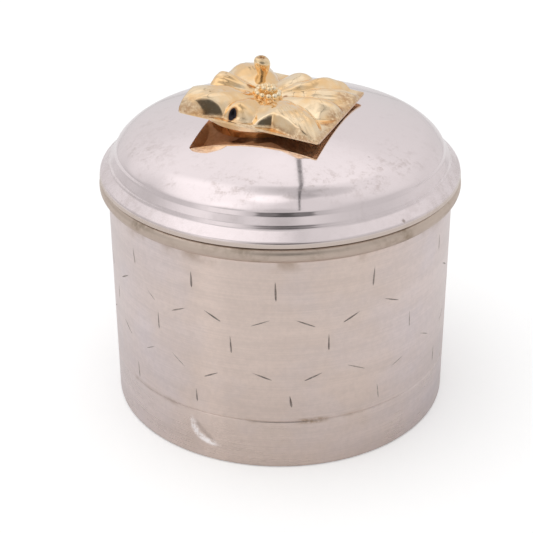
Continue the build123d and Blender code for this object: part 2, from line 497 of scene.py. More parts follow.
@dataclass(frozen=True)
class WhiteMetal:
    """Plain turned metal of the small fastener."""

    plain: Tint = Tint(0.56, 0.54, 0.52)
    dark: Tint = Tint(0.34, 0.32, 0.30)

    def make(self) -> Material:
        """Makes the material of the stud, washer and nut.

        Returns:
            The finished material.
        """
        metal = Metal(Slot.WHITE.value)
        cloud, lines = metal.cloud(900, 3.0, 0.6), metal.turned(9000, 300, 2.0)
        colour = metal.mix(metal.span(cloud, 0.4, 0.75), self.plain, self.dark)
        roughness = metal.span(metal.plus(cloud, lines), 0.6, 1.4, 0.24, 0.42)
        return metal.finish(colour, roughness, metal.bump(lines, 0.002))


@dataclass(frozen=True)
class CutSilver:
    """The floor of an engraved cut, dark with old polish."""

    dark: Tint = Tint(0.34, 0.29, 0.265)
    bare: Tint = Tint(0.58, 0.50, 0.46)

    def make(self) -> Material:
        """Makes the material of the engraved cuts.

        Returns:
            The finished material.
        """
        metal = Metal("cut_silver")
        fine = metal.cloud(1600, 3.0, 0.6)
        colour = metal.mix(metal.span(fine, 0.42, 0.72), self.dark, self.bare)
        return metal.finish(colour, metal.span(fine, 0.3, 0.7, 0.3, 0.5))


@dataclass(frozen=True)
class Span:
    """A short run of a profile with the outward normal at each end."""

    start: Point
    end: Point
    start_normal: Point
    end_normal: Point


class Profile:
    """A closed line of radius and height, drawn anticlockwise, so that metal is on its left."""

    def __init__(self) -> None:
        """Starts with no line."""
        self.spans: list[Span] = []

    def straight(self, start: Point, end: Point, steps: int = 1) -> None:
        """Adds a straight run.

        Args:
            start: Where it starts.
            end: Where it ends.
            steps: How many spans it is made of.
        """
        run = np.subtract(end, start)
        along = run / math.hypot(*run)
        places = np.add(start, run * np.linspace(0, 1, steps + 1)[:, None])
        self.curve(places, np.tile([along[1], -along[0]], (steps + 1, 1)))

    def curve(self, places: np.ndarray, normals: np.ndarray) -> None:
        """Adds a curved run, given its points and the outward normal at each."""
        for ends in zip(places[:-1], places[1:], normals[:-1], normals[1:]):
            self.spans.append(Span(*(tuple(map(float, end)) for end in ends)))

    def arc(self, centre: Point, radius: float, first: float, last: float, steps: int) -> None:
        """Adds part of a circle; it is hollow when the angle falls.

        Args:
            centre: The middle of the circle.
            radius: Its radius.
            first: The angle where it starts, in radians.
            last: The angle where it ends.
            steps: How many spans it is made of.
        """
        angles = np.linspace(first, last, steps + 1)
        rays = np.stack([np.cos(angles), np.sin(angles)], 1)
        self.curve(np.array(centre) + radius * rays, rays if last > first else -rays)

    def bend(self, start: Point, corner: Point, end: Point, steps: int = 8) -> None:
        """Adds a soft corner that leaves both sides smoothly.

        Args:
            start: Where it leaves the first side.
            corner: Where the sides would meet.
            end: Where it joins the second side.
            steps: How many spans it is made of.
        """
        share = np.linspace(0, 1, steps + 1)[:, None]
        a, b, c = (np.array(place, float) for place in (start, corner, end))
        places = (1 - share) ** 2 * a + 2 * share * (1 - share) * b + share**2 * c
        along = (1 - share) * (b - a) + share * (c - b)
        along /= np.linalg.norm(along, axis=1)[:, None]
        self.curve(places, np.stack([along[:, 1], -along[:, 0]], 1))

    @staticmethod
    def ends(before: Point, corner: Point, after: Point, size: float) -> tuple[Point, Point]:
        """Where the rounding of a corner leaves its two sides.

        Args:
            before: The corner before it.
            corner: The corner.
            after: The corner after it.
            size: The radius of the rounding.

        Returns:
            The place on the first side and the one on the second.
        """
        here = np.array(corner, float)
        sides = [np.array(place, float) - here for place in (before, after)]
        back, on = (side / np.linalg.norm(side) for side in sides)
        half = math.acos(float(np.clip(back @ on, -1, 1))) / 2
        reach = size / math.tan(half) if size else 0.0
        return tuple(here + back * reach), tuple(here + on * reach)

    def chain(self, corners: list[Point], rounds: tuple[float, ...], closed: bool = False) -> None:
        """Adds straight runs with soft corners between them.

        Args:
            corners: The corners in order.
            rounds: The rounding of each, where 0 leaves it sharp.
            closed: Whether the last corner joins the first.
        """
        count = len(corners)
        exits = [
            self.ends(corners[one - 1], corners[one], corners[(one + 1) % count], rounds[one])
            for one in range(count)
        ]
        for one in range(count if closed else count - 1):
            if rounds[one]:
                self.bend(exits[one][0], corners[one], exits[one][1])
            self.straight(exits[one][1], exits[(one + 1) % count][0])

    def normals_at(self, places: np.ndarray, middles: np.ndarray, batch: int = 20000) -> np.ndarray:
        """Smooth normals for points near the line.

        Args:
            places: Radius and height of each point.
            middles: Radius and height of the middle of each point's face.
            batch: How many points are worked on at once.

        Returns:
            The radial and upright part of each normal.
        """
        starts, stops, first, last = (
            np.array([getattr(span, name) for span in self.spans])
            for name in ("start", "end", "start_normal", "end_normal")
        )
        runs = stops - starts
        size = (runs**2).sum(1)
        best = np.zeros(len(middles), int)
        for low in range(0, len(middles), batch):
            part = middles[low : low + batch, None, :] - starts
            share = np.clip((part * runs).sum(2) / size, 0, 1)
            gap = ((part - share[:, :, None] * runs) ** 2).sum(2)
            best[low : low + batch] = gap.argmin(1)
        share = ((places - starts[best]) * runs[best]).sum(1) / size[best]
        share = np.clip(share, 0, 1)[:, None]
        return first[best] * (1 - share) + last[best] * share


class Shop:
    """Ways to make a mesh and to hand it over to the frame."""

    @staticmethod
    def link(name: str, data: bpy.types.ID) -> Object:
        """Puts a new object into the scene.

        Args:
            name: Its name.
            data: Its mesh, camera or lamp.

        Returns:
            The new object.
        """
        made = bpy.data.objects.new(name, data)
        bpy.context.scene.collection.objects.link(made)
        return made

    @staticmethod
    def angles(flats: int) -> np.ndarray:
        """The angles of a full turn in that many flats."""
        return np.linspace(0, FULL_TURN, flats, endpoint=False)

    @staticmethod
    def note(mesh: bpy.types.Mesh, name: str, values: np.ndarray) -> None:
        """Notes a number, or a vector where there are rows of three, at each point of a mesh."""
        kind, key = ("FLOAT", "value") if values.ndim == 1 else ("FLOAT_VECTOR", "vector")
        mesh.attributes.new(name, kind, "POINT").data.foreach_set(key, values.astype(np.float32).ravel())

    @staticmethod
    def quads(rows: int, flats: int, closed: bool = False) -> list[list[int]]:
        """Faces between rings of points.

        Args:
            rows: How many rings there are.
            flats: How many points each has.
            closed: Whether the last ring joins the first.

        Returns:
            The points of each face.
        """
        faces: list[list[int]] = []
        for row in range(rows if closed else rows - 1):
            low, high = row * flats, (row + 1) % rows * flats
            for one in range(flats):
                two = (one + 1) % flats
                faces.append([low + one, low + two, high + two, high + one])
        return faces

    @staticmethod
    def piece(
        name: str,
        places: np.ndarray,
        faces: list[list[int]],
        normals: np.ndarray | None = None,
        move: Matrix | None = None,
    ) -> Object:
        """Makes an object of points and faces.

        Args:
            name: Its name.
            places: Its points, in millimetres.
            faces: The points of each face, anticlockwise from outside.
            normals: A normal for each corner of each face.
            move: Where the whole piece goes, in millimetres.

        Returns:
            The new object, at the origin.
        """
        if move is not None:
            turn = np.array(move.to_3x3())
            places = places @ turn.T + np.array(move.translation)
            normals = normals @ turn.T if normals is not None else None
        mesh = bpy.data.meshes.new(name)
        mesh.from_pydata((np.asarray(places) * MM).tolist(), [], faces)
        mesh.polygons.foreach_set("use_smooth", [True] * len(mesh.polygons))
        if normals is not None:
            normals = normals / np.linalg.norm(normals, axis=1)[:, None]
            mesh.normals_split_custom_set(normals.tolist())
        return Shop.link(name, mesh)

    @staticmethod
    def turn(name: str, profile: Profile, flats: int = LATHE_FLATS) -> Object:
        """Turns a profile round the axis.

        Args:
            name: The piece's name.
            profile: Its closed line.
            flats: How many flats the turn has.

        Returns:
            The turned piece.
        """
        angles = Shop.angles(flats)
        around = np.stack([np.cos(angles), np.sin(angles)], 1)
        steps = np.arange(flats)
        following = np.roll(steps, -1)
        rows: list[np.ndarray] = []
        first: list[int] = []
        count = 0
        for radius, height in (span.start for span in profile.spans):
            ring = around if radius > NEAR_AXIS else around[:1]
            rows.append(np.column_stack([ring * radius, np.full(len(ring), height)]))
            first.append(count)
            count += len(ring)
        faces: list[list[int]] = []
        normals: list[np.ndarray] = []
        for one, span in enumerate(profile.spans):
            two = (one + 1) % len(profile.spans)
            low = first[one] + steps * (span.start[0] > NEAR_AXIS)
            high = first[two] + steps * (span.end[0] > NEAR_AXIS)
            corners = [
                (low, around, span.start_normal),
                (low[following], around[following], span.start_normal),
                (high[following], around[following], span.end_normal),
                (high, around, span.end_normal),
            ]
            if span.start[0] <= NEAR_AXIS:
                corners.pop(0)
            if span.end[0] <= NEAR_AXIS:
                corners.pop(2)
            faces.extend(np.stack([corner[0] for corner in corners], 1).tolist())
            sides = [np.column_stack([ray * out, np.full(flats, up)]) for _, ray, (out, up) in corners]
            normals.append(np.stack(sides, 1).reshape(-1, 3))
        return Shop.piece(name, np.concatenate(rows), faces, np.concatenate(normals))

    @staticmethod
    def sheet(name: str, top: np.ndarray, under: np.ndarray, move: Matrix | None = None) -> Object:
        """Makes a pressed sheet of two grids of points.

        Args:
            name: The piece's name.
            top: Rows and columns of points of its upper side.
            under: The same for its lower side.
            move: Where the whole piece goes, in millimetres.

        Returns:
            The pressed sheet.
        """
        rows, columns, _ = top.shape
        count = rows * columns
        index = np.arange(count).reshape(rows, columns)

        def slopes(grid: np.ndarray) -> np.ndarray:
            """Unit normals of a grid, upwards."""
            normal = np.cross(np.gradient(grid, axis=1), np.gradient(grid, axis=0))
            return (normal / np.linalg.norm(normal, axis=2)[:, :, None]).reshape(-1, 3)

        corners = [index[:-1, :-1], index[:-1, 1:], index[1:, 1:], index[1:, :-1]]
        quads = np.stack(corners, 2).reshape(-1, 4)
        turned = quads[:, ::-1]
        edge = np.concatenate([index[0, :-1], index[:-1, -1], index[-1, :0:-1], index[:0:-1, 0]])
        after = np.roll(edge, -1)
        walls = np.stack([edge, edge + count, after + count, after], 1)
        places = np.concatenate([top.reshape(-1, 3), under.reshape(-1, 3)])
        out = np.cross(places[after] - places[edge], np.array([0.0, 0.0, 1.0]))
        normals = [
            slopes(top)[quads].reshape(-1, 3),
            -slopes(under)[turned].reshape(-1, 3),
            np.repeat(out / np.linalg.norm(out, axis=1)[:, None], 4, 0),
        ]
        faces = np.concatenate([quads, turned + count, walls]).tolist()
        return Shop.piece(name, places, faces, np.concatenate(normals), move)

    @staticmethod
    def dress(made: Object, *materials: Material) -> Object:
        """Gives a piece its materials, in order.

        Args:
            made: The piece.
            *materials: One for each slot of the piece.

        Returns:
            The dressed piece.
        """
        made.data.materials.clear()
        for material in materials:
            made.data.materials.append(material)
        return made

    @staticmethod
    def seat(made: Object, body: Body, slot: Slot, *nodes: str) -> None:
        """Hands a finished piece over to the frame.

        Args:
            made: The piece.
            body: The body that it moves with.
            slot: Not used.
            *nodes: The solids that it stands for.
        """
        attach(made, body.value)
        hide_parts(*nodes)
        LOG.info("%s: %d faces, on %s", made.name, len(made.data.polygons), body.value)

    @staticmethod
    def lathe(name: str, profile: Profile, finish: Material, body: Body, slot: Slot, node: str) -> None:
        """Turns a plain piece, dresses it and hands it over."""
        Shop.seat(Shop.dress(Shop.turn(name, profile), finish), body, slot, node)


class Recipe(Graph):
    """A geometry node tree with named inputs, used once and then made a plain mesh."""

    def __init__(self, name: str) -> None:
        """Starts a tree with a geometry input and output.

        Args:
            name: Its name.
        """
        super().__init__(bpy.data.node_groups.new(name, "GeometryNodeTree"))
        for way in ("INPUT", "OUTPUT"):
            self.tree.interface.new_socket("Geometry", in_out=way, socket_type="NodeSocketGeometry")
        self.entry = self.add("NodeGroupInput")
        self.exit = self.add("NodeGroupOutput")
        self.values: dict[str, object] = {}

    def size(self, name: str, kind: str, value: object) -> Socket:
        """Adds a named input.

        Args:
            name: The input's name.
            kind: The type of its socket, such as Float.
            value: What it is set to.

        Returns:
            The socket inside the tree.
        """
        made = self.tree.interface.new_socket(name, in_out="INPUT", socket_type=f"NodeSocket{kind}")
        self.values[made.identifier] = value
        return self.entry.outputs[name]

    def noted(self, name: str, kind: str = "FLOAT") -> Socket:
        """What was noted at each point under a name."""
        return self.out("GeometryNodeInputNamedAttribute", {"Name": name}, data_type=kind)

    def moved(self, geometry: Socket, place: Socket) -> Socket:
        """Geometry with its points put in new places."""
        return self.out("GeometryNodeSetPosition", {"Geometry": geometry, "Position": place})

    def real(self, geometry: Socket, finish: Socket) -> Socket:
        """Copies made real and given a finish."""
        plain = self.out("GeometryNodeRealizeInstances", {0: geometry})
        return self.out("GeometryNodeSetMaterial", {"Geometry": plain, "Material": finish})

    def run(self, made: Object) -> None:
        """Runs the tree on an object and keeps the result as its plain mesh.

        Args:
            made: The object.
        """
        modifier = made.modifiers.new(self.tree.name, "NODES")
        modifier.node_group = self.tree
        for identifier, value in self.values.items():
            modifier[identifier] = value
        graph = bpy.context.evaluated_depsgraph_get()
        mesh = bpy.data.meshes.new_from_object(made.evaluated_get(graph))
        made.modifiers.remove(modifier)
        made.data = mesh
        mesh.name = made.name


@dataclass
class Engraving:
    """One row of hexagons, a graver's cut in the middle of each side.

    A cut made by hand is its angle from the front, height, lean, length and bite.
    """

    radius: float = 20.0
    front_cells: tuple[float, ...] = (-54.0, -28.3, -1.5, 30.3, 63.4)
    back_cells: int = 7
    row_height: float = 15.75
    cell_point: float = 4.85
    cell_side: float = 1.7
    stub_reach: float = 7.3
    lengths: dict[Stroke, float] = field(
        default_factory=lambda: {Stroke.UPRIGHT: 2.15, Stroke.RISING: 2.6, Stroke.FALLING: 2.6}
    )
    even_bite: float = 0.85
    width: float = 0.22
    depth: float = 0.085
    wobble: float = 0.05
    entry_taper: float = 0.45
    leave_taper: float = 0.9
    seed: int = 4
    hand_reach: float = 57.0
    hand_cuts: tuple[tuple[float, float, float, float, float], ...] = (
        (-54.1, 22.78, 8, 1.87, 0.9), (-28.5, 23.02, 3, 1.98, 1.1), (-1.4, 22.82, 0, 2.47, 1.1),
        (30.2, 23.25, -2, 2.36, 1.0), (-45.5, 19.07, 56, 1.71, 0.5), (-33.7, 18.77, -63, 2.59, 0.75),
        (-21.6, 19.10, 64, 2.59, 1.0), (-5.8, 18.91, -69, 3.35, 0.65), (7.5, 18.84, 63, 3.05, 0.75),
        (22.8, 18.87, -65, 2.60, 0.95), (37.3, 19.59, 67, 3.29, 0.7), (-42.5, 16.29, 3, 2.28, 1.0),
        (-15.6, 15.87, 4, 2.14, 0.9), (15.3, 16.19, 3, 2.17, 1.0), (46.2, 15.96, 5, 2.09, 0.6),
        (-47.0, 12.10, -58, 2.40, 0.4), (-35.0, 12.32, 57, 3.13, 0.5), (-22.3, 11.53, -63, 2.21, 0.9),
        (-6.0, 12.15, 68, 2.83, 0.9), (10.6, 11.98, -66, 2.76, 0.95), (24.4, 12.39, 65, 3.60, 0.65),
        (41.4, 11.18, -70, 2.52, 0.5), (55.0, 12.60, 61, 2.90, 0.5), (-55.0, 7.80, 5, 2.17, 1.0),
        (-27.9, 8.34, 3, 1.71, 1.0), (3.3, 8.89, 8, 1.56, 1.1), (33.2, 8.27, 6, 2.04, 0.6),
    )

    def strokes(self) -> np.ndarray:
        """Every cut: those in front as the hand left them, the others on the even plan.

        Returns:
            One row for each cut, with angles in degrees and sizes in millimetres.
        """
        start = self.front_cells[-1]
        pitch = (self.front_cells[0] + 360 - start) / (self.back_cells + 1)
        cells = list(self.front_cells) + [start + pitch * count for count in range(1, self.back_cells + 2)]
        rise = (self.cell_point + self.cell_side) / 2
        plan = (
            (0, self.stub_reach, Stroke.UPRIGHT),
            (0, -self.stub_reach, Stroke.UPRIGHT),
            (2, 0, Stroke.UPRIGHT),
            (1, rise, Stroke.RISING),
            (3, rise, Stroke.FALLING),
            (1, -rise, Stroke.FALLING),
            (3, -rise, Stroke.RISING),
        )
        made = list(self.hand_cuts)
        for angle, following in zip(cells[:-1], cells[1:]):
            quarter = (following - angle) / 4
            width = 2 * math.radians(quarter) * self.radius
            slant = 90 - math.degrees(math.atan2(self.cell_point - self.cell_side, width))
            for step, up, stroke in plan:
                turn = angle + step * quarter
                if self.hand_reach < turn < 360 - self.hand_reach:
                    lean = stroke.value * slant
                    made.append((turn, self.row_height + up, lean, self.lengths[stroke], self.even_bite))
        return np.array(made)

    def recipe(self, wall: Object, cut: Material) -> Recipe:
        """The tree that sets a tapered cutter at every place and takes them out of the wall.

        Args:
            wall: The plain drum wall.
            cut: The finish of the cuts.

        Returns:
            The finished tree.
        """
        tree = Recipe("engraving")
        width = tree.size("Cut width", "Float", self.width * MM)
        depth = tree.size("Cut depth", "Float", self.depth * MM)
        wobble = tree.size("Wobble", "Float", self.wobble)
        seed = tree.size("Seed", "Int", self.seed)
        sheet = tree.size("Wall", "Object", wall)
        finish = tree.size("Cut finish", "Material", cut)

        def drift(low: float, high: float, offset: int) -> Socket:
            """A seeded number for each cut, between two limits; the offset sets its use apart."""
            terms = {2: low, 3: high, "Seed": tree.plus(seed, offset)}
            return tree.out("FunctionNodeRandomValue", terms, 1, data_type="FLOAT")

        sizes = {"Vertices": 4, "Side Segments": 8, "Radius": 1.0, "Depth": 1.0}
        rod = tree.out("GeometryNodeMeshCylinder", sizes, "Mesh")
        out, aside, along = tree.split(tree.out("GeometryNodeInputPosition"))
        entry = tree.math("POWER", tree.plus(along, 0.5), self.entry_taper)
        leave = tree.math("POWER", tree.less(0.5, along), self.leave_taper)
        taper = tree.math("MULTIPLY_ADD", tree.times(entry, leave), 2.3, 0.04)
        half = tree.times(width, 0.5)
        deep, broad = tree.times(out, tree.times(depth, taper)), tree.times(aside, tree.times(half, taper))
        lean = tree.times(wobble, drift(-1.0, 1.0, 0))
        turns = {0: tree.noted("turn", "FLOAT_VECTOR"), 1: tree.vector(lean, 0.0, 0.0)}
        tilted = tree.out("ShaderNodeVectorMath", turns, operation="ADD")
        bite = tree.times(tree.noted("bite"), drift(0.9, 1.1, 1))
        long = tree.times(tree.noted("length"), drift(0.95, 1.05, 2))
        placed = tree.out("GeometryNodeInstanceOnPoints", {
            "Points": tree.out("GeometryNodeMeshToPoints", {0: tree.entry.outputs["Geometry"]}),
            "Instance": tree.moved(rod, tree.vector(deep, broad, along)),
            "Rotation": tree.out("FunctionNodeEulerToRotation", {0: tilted}),
            "Scale": tree.vector(bite, bite, long),
        })
        source = tree.out("GeometryNodeObjectInfo", {"Object": sheet}, "Geometry")
        solids = {"Mesh 1": source, "Mesh 2": tree.real(placed, finish)}
        taken = tree.out("GeometryNodeMeshBoolean", solids, "Mesh", operation="DIFFERENCE", solver="EXACT")
        tree.feed(tree.exit.inputs[0], taken)
        return tree

    def cut(self, wall: Object, profile: Profile, cut: Material) -> Object:
        """Engraves the wall.

        Args:
            wall: The plain drum wall, which is used up.
            profile: The wall's profile, for its smooth normals.
            cut: The finish of the cuts.

        Returns:
            The engraved wall.
        """
        turns, heights, leans, lengths, bites = self.strokes().T
        angles = np.radians(turns)
        places = np.column_stack([self.radius * np.sin(angles), -self.radius * np.cos(angles), heights])
        mesh = bpy.data.meshes.new("engraved_wall")
        mesh.from_pydata((places * MM).tolist(), [], [])
        upright = np.zeros(len(angles))
        Shop.note(mesh, "turn", np.column_stack([np.radians(leans), upright, angles - math.pi / 2]))
        Shop.note(mesh, "length", lengths * MM)
        Shop.note(mesh, "bite", bites)
        made = Shop.link("engraved_wall", mesh)
        self.recipe(wall, cut).run(made)
        bpy.data.objects.remove(wall)
        self.smooth(made, profile, cut)
        return made

    @staticmethod
    def smooth(made: Object, profile: Profile, cut: Material) -> None:
        """Gives the wall between the cuts the normals of a true cylinder.

        Args:
            made: The engraved wall.
            profile: The wall's profile.
            cut: The finish of the cuts, whose faces stay flat.
        """
        mesh = made.data
        sides = mesh.polygons
        places = np.array([vertex.co for vertex in mesh.vertices]) / MM
        points = places[np.array([loop.vertex_index for loop in mesh.loops])]
        faces = np.repeat(np.arange(len(sides)), [len(face.vertices) for face in sides])
        middles = np.array([face.center for face in sides])[faces] / MM
        flat = np.array([face.normal for face in sides])[faces]
        slots = np.array([face.material_index for face in sides])[faces]
        inside = slots == list(mesh.materials).index(cut)
        radius = np.hypot(points[:, 0], points[:, 1])
        centres = np.column_stack([np.hypot(middles[:, 0], middles[:, 1]), middles[:, 2]])
        smooth = profile.normals_at(np.column_stack([radius, points[:, 2]]), centres)
        around = points[:, :2] / radius[:, None]
        normals = np.column_stack([around * smooth[:, :1], smooth[:, 1]])
        normals[inside] = flat[inside]
        sides.foreach_set("use_smooth", [True] * len(sides))
        mesh.normals_split_custom_set(normals.tolist())


@dataclass
class Drum:
    """The drum: rolled wall with its engraving, bottom and mouth wire."""

    radius: float = 20.0
    height: float = 28.3
    wall: float = 0.6
    foot_rounding: float = 0.4
    lip_rounding: float = 0.12
    line_height: float = 6.2
    line_width: float = 0.26
    line_depth: float = 0.07
    line_rounding: float = 0.03
    base_thickness: float = 0.8
    base_dish: float = 0.12
    base_bend: Point = (0.35, 1.1)
    base_middle: float = 0.05
    bead_radius: float = 0.95
    solder_gap: float = 0.02
    engraving: Engraving = field(default_factory=Engraving)

    def wall_profile(self) -> Profile:
        """Draws the rolled wall, with its turned line.

        Returns:
            Its section.
        """
        bore = self.radius - self.wall
        corners = [
            (bore, 0.0),
            (self.radius, 0.0),
            (self.radius, self.line_height - self.line_width / 2),
            (self.radius - self.line_depth, self.line_height),
            (self.radius, self.line_height + self.line_width / 2),
            (self.radius, self.height),
            (bore, self.height),
        ]
        line, lip = (self.line_rounding,) * 3, (self.lip_rounding,) * 2
        profile = Profile()
        profile.chain(corners, (0.0, self.foot_rounding, *line, *lip), closed=True)
        return profile

    def bead_profile(self) -> Profile:
        """Draws the half-round mouth wire.

        Returns:
            Its section.
        """
        inside = self.radius + self.solder_gap
        centre = (inside, self.height - self.bead_radius)
        profile = Profile()
        profile.arc(centre, self.bead_radius, -math.pi / 2, math.pi / 2, 28)
        profile.straight((inside, self.height), (inside, self.height - 2 * self.bead_radius))
        return profile

    def base_profile(self) -> Profile:
        """Draws the bottom, faintly dished inside, with its solder line.

        Returns:
            Its section.
        """
        edge, top = self.radius - self.wall - self.solder_gap, self.base_thickness
        turn, flat = ((edge - inward, top - self.base_dish) for inward in self.base_bend)
        profile = Profile()
        profile.straight((0.0, 0.0), (edge, 0.0), 6)
        profile.straight((edge, 0.0), (edge, top))
        profile.bend((edge, top), turn, flat)
        profile.straight(flat, (0.0, top - self.base_middle), 10)
        return profile

    def build(self, satin: Material, bead: Material, cut: Material) -> None:
        """Makes the drum's pieces.

        Args:
            satin: The finish of its sheet.
            bead: The finish of the mouth wire.
            cut: The finish of the engraved cuts.
        """
        profile = self.wall_profile()
        plain = Shop.dress(Shop.turn("plain_wall", profile), satin)
        wall = self.engraving.cut(plain, profile, cut)
        Shop.seat(wall, Body.DRUM, Slot.SATIN, "body_wall")
        Shop.lathe("turned_base", self.base_profile(), satin, Body.DRUM, Slot.SATIN, "base_disc")
        Shop.lathe("mouth_wire", self.bead_profile(), bead, Body.DRUM, Slot.POLISHED, "mouth_bead")


@dataclass
class Lid:
    """The lid: spun dome with its moulded rim, and the collar that plugs into the mouth.

    The rim's corners are given from the foot of the dome down, inward of the edge and above
    the mouth. Their roundings run from the edge up.
    """

    mouth: float = 28.3
    edge_radius: float = 20.9
    sheet: float = 0.5
    dome_height: float = 7.9
    crown_drop: float = 2.79
    haunch_width: float = 2.6
    rim: tuple[Point, ...] = ((2.03, 3.16), (1.91, 2.81), (1.34, 2.03), (1.22, 1.65), (0.1, 0.65))
    rounds: tuple[float, ...] = (0.5, 0.7, 0.8, 0.8)
    foot_angle: float = 0.20
    foot_bend: float = 0.24
    inner_bend: Point = (-0.55, 1.15)
    edge_under_round: float = 0.15
    edge_lean: float = 0.02
    hole_radius: float = 1.0
    collar_radius: float = 19.2
    collar_sheet: float = 0.5
    collar_depth: float = 4.0
    collar_top: float = 2.27
    collar_bevel: float = 0.15
    collar_rounds: tuple[float, ...] = (0.12, 0.2, 0.06, 0.05, 0.05, 0.05, 0.05, 0.05)
    flange_sheet: float = 0.35

    def corners(self) -> list[Point]:
        """The corners of the moulded rim, from the foot of the dome down to the edge."""
        places = [(self.edge_radius - inward, self.mouth + up) for inward, up in self.rim]
        return places + [(self.edge_radius, self.mouth)]

    def crown(self) -> tuple[float, float, float]:
        """Finds the arc of the crown.

        Returns:
            Its radius, the height of its centre and the radius where it ends.
        """
        end = self.corners()[0][0] - self.haunch_width
        radius = (end**2 + self.crown_drop**2) / (2 * self.crown_drop)
        return radius, self.mouth + self.dome_height - radius, end

    def haunch(self) -> tuple[Point, float, float, float]:
        """The arc that carries the crown on to the foot of the dome.

        Returns:
            Its centre, radius, and the angles at the crown and at the foot.
        """
        radius, centre, end = self.crown()
        top = np.array([end, centre + math.sqrt(radius**2 - end**2)])
        inward = np.array([0.0, centre]) - top
        inward /= np.linalg.norm(inward)
        foot = np.array(self.corners()[0])
        run = foot - top
        size = float(run @ run / (2 * run @ inward))
        middle = top + inward * size
        first, last = (math.atan2(*(place - middle)[::-1]) for place in (top, foot))
        return (float(middle[0]), float(middle[1])), size, first, last

    def dome_profile(self) -> Profile:
        """Draws the spun sheet, outside and inside.

        Returns:
            Its section.
        """
        rim = self.corners()[::-1]
        radius, centre, end = self.crown()
        middle, size, crown_angle, foot_angle = self.haunch()
        profile = Profile()
        # The moulded rim, from under the edge up to its last corner.
        under = (self.edge_radius - self.edge_under_round, self.mouth)
        before: Point = (self.edge_radius - self.edge_lean, self.mouth + self.edge_under_round)
        profile.bend(under, rim[0], before, 5)
        for one, rounding in enumerate(self.rounds, 1):
            start, stop = Profile.ends(rim[one - 1], rim[one], rim[one + 1], rounding)
            profile.straight(before, start, 2)
            profile.bend(start, rim[one], stop, 10)
            before = stop
        # The hollow foot, where the rim runs out into the haunch.
        trim = foot_angle + self.foot_angle
        foot = (middle[0] + size * math.cos(trim), middle[1] + size * math.sin(trim))
        tangent = np.array([math.sin(trim), -math.cos(trim)])
        leave = np.array(rim[4])
        line = np.array(rim[5]) - leave
        share = np.linalg.solve(np.column_stack([line, -tangent]), np.array(foot) - leave)[0]
        corner = leave + line * share
        line = line / np.linalg.norm(line)
        start = tuple(corner - line * min(self.foot_bend, float((corner - np.array(before)) @ line)))
        profile.straight(before, start)
        profile.bend(start, tuple(corner), foot, 10)
        profile.arc(middle, size, trim, crown_angle, 22)
        # The crown outside, the hole in it and the crown inside.
        inner = radius - self.sheet
        hole = self.hole_radius
        profile.arc((0.0, centre), radius, math.acos(end / radius), math.acos(hole / radius), 30)
        top, low = ((hole, centre + math.sqrt(size**2 - hole**2)) for size in (radius, inner))
        profile.straight(top, low)
        inner_end = end * inner / radius
        profile.arc((0.0, centre), inner, math.acos(hole / inner), math.acos(inner_end / inner), 24)
        # The inside of the rim, back to the edge.
        runs = [(place[0] - self.sheet, place[1] - self.sheet / 2) for place in self.corners()[:-1]]
        turn = (runs[0][0] + self.inner_bend[0], runs[0][1] + self.inner_bend[1])
        profile.bend(profile.spans[-1].end, turn, runs[0], 12)
        runs += [(self.edge_radius - self.sheet, self.mouth), under]
        for start, stop in zip(runs[:-1], runs[1:]):
            profile.straight(start, stop)
        return profile

    def collar_profile(self) -> Profile:
        """Draws the collar: plug tube below, flange on the rim and a short tube above.

        Returns:
            Its section.
        """
        outer, inner = self.collar_radius, self.collar_radius - self.collar_sheet
        flange = self.edge_radius - self.sheet
        low, step, top = (
            self.mouth + up for up in (-self.collar_depth, self.flange_sheet, self.collar_top)
        )
        corners = [
            (inner, low),
            (outer, low),
            (outer, self.mouth),
            (flange, self.mouth),
            (flange - self.edge_lean, step),
            (outer, step),
            (outer - 0.6 * self.collar_sheet, top - self.collar_bevel),
            (inner, top),
        ]
        profile = Profile()
        profile.chain(corners, self.collar_rounds, closed=True)
        return profile

    def build(self, polished: Material) -> None:
        """Makes the lid's sheet-metal pieces, all in one finish."""
        Shop.lathe("spun_dome", self.dome_profile(), polished, Body.LID, Slot.POLISHED, "lid_dome")
        Shop.lathe("plug_collar", self.collar_profile(), polished, Body.LID, Slot.POLISHED, "lid_collar")


@dataclass(frozen=True)
class Petal:
    """One hollow petal of the stamped flower.

    Its sides are told apart as seen from the middle of the flower looking out. A large blunt
    number makes its end round and steep, a small one makes it pointed.
    """

    turn: float
    reach: float
    left: float
    right: float
    rise: float
    blunt: float
    fold: float
    vein: float = 0.0
    full: float = 2.0
    rib_pitch: float = 7.5
    rib_start: float = 0.25

    def outline(self, run: np.ndarray) -> np.ndarray:
        """How wide the petal is along its length."""
        return run**0.45 * (1 - run**self.blunt) ** 0.6

    def swell(self, run: np.ndarray) -> np.ndarray:
        """How high the petal is along its length."""
        return run**0.5 * (1 - run ** (1.6 * self.blunt))

    def height(self, x: np.ndarray, y: np.ndarray, start: float) -> np.ndarray:
        """The petal's height over the sheet.

        Args:
            x: Places across the flower, from its middle.
            y: Places along it.
            start: How far from the middle the petal starts.

        Returns:
            The height at each place, 0 outside the petal.
        """
        angle = math.radians(self.turn)
        along = x * math.cos(angle) + y * math.sin(angle)
        aside = -x * math.sin(angle) + y * math.cos(angle)
        share = np.clip((along - start) / (self.reach - start), 0, 1)
        even = np.linspace(0, 1, 200)
        half = np.where(aside > 0, self.left, self.right) * self.outline(share) / self.outline(even).max()
        apart = np.clip(np.abs(aside) / np.maximum(half, NEAR_AXIS), 0, 1)
        section = (1 - self.fold) * (1 - apart**self.full) + self.fold * (1 - apart)
        ribs = 0.5 + 0.5 * np.cos(aside / (0.35 + 0.65 * share) * self.rib_pitch)
        rise = self.rise * self.swell(share) / self.swell(even).max()
        return (rise - self.vein * ribs * np.clip((share - self.rib_start) * 2.5, 0, 1)) * section


